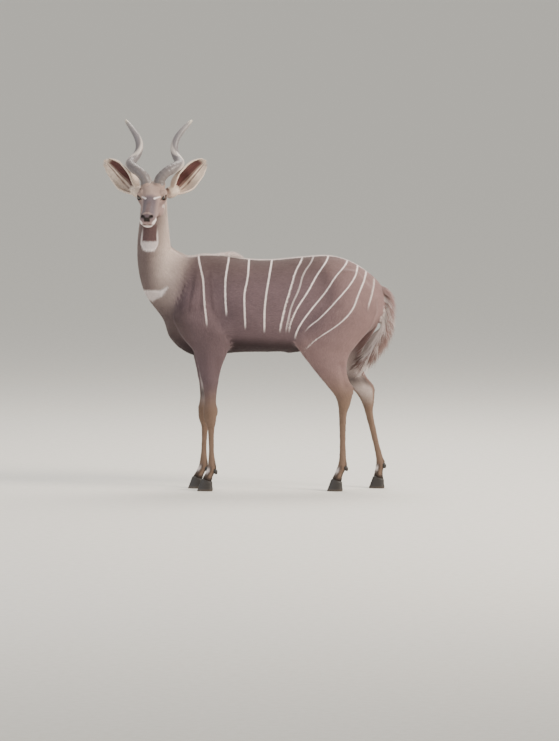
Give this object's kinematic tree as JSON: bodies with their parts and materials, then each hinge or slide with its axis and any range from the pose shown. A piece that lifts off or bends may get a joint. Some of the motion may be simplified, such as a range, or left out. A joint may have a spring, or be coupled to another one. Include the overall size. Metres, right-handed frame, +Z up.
{
  "type": "lesser kudu",
  "caption": "Life-size lesser kudu bull standing broadside, head turned to look out sideways, with spiral horns and narrow white stripes.",
  "frame": {"origin": "on the floor, under the middle of the whole animal's box", "axes": "+Z up; the body faces -X, with the rump towards +X; the animal's left side, which its face is turned to, is towards -Y"},
  "size_m": [1.2056, 0.4098, 1.5165],
  "materials": {
    "body_coat": "short grey-brown hair",
    "leg_coat": "short tawny hair",
    "ear_coat": "fine pale hair over thin skin",
    "tail_coat": "long soft hair, brown above and white below",
    "horn": "keratin, worn satin",
    "hoof": "keratin, satin",
    "eye": "wet gloss"
  },
  "bodies": {
    "root": {"ear_left": "ear_coat", "ear_right": "ear_coat", "eye_left": "eye", "eye_right": "eye", "foreleg_left_lower": "leg_coat", "foreleg_left_upper": "body_coat", "foreleg_right_lower": "leg_coat", "foreleg_right_upper": "body_coat", "head": "body_coat", "hindleg_left_lower": "leg_coat", "hindleg_left_upper": "body_coat", "hindleg_right_lower": "leg_coat", "hindleg_right_upper": "body_coat", "hoof_foreleg_left_inner": "hoof", "hoof_foreleg_left_outer": "hoof", "hoof_foreleg_right_inner": "hoof", "hoof_foreleg_right_outer": "hoof", "hoof_hindleg_left_inner": "hoof", "hoof_hindleg_left_outer": "hoof", "hoof_hindleg_right_inner": "hoof", "hoof_hindleg_right_outer": "hoof", "horn_left": "horn", "horn_right": "horn", "neck": "body_coat", "tail": "tail_coat", "torso": "body_coat"}
  },
  "joints": []
}
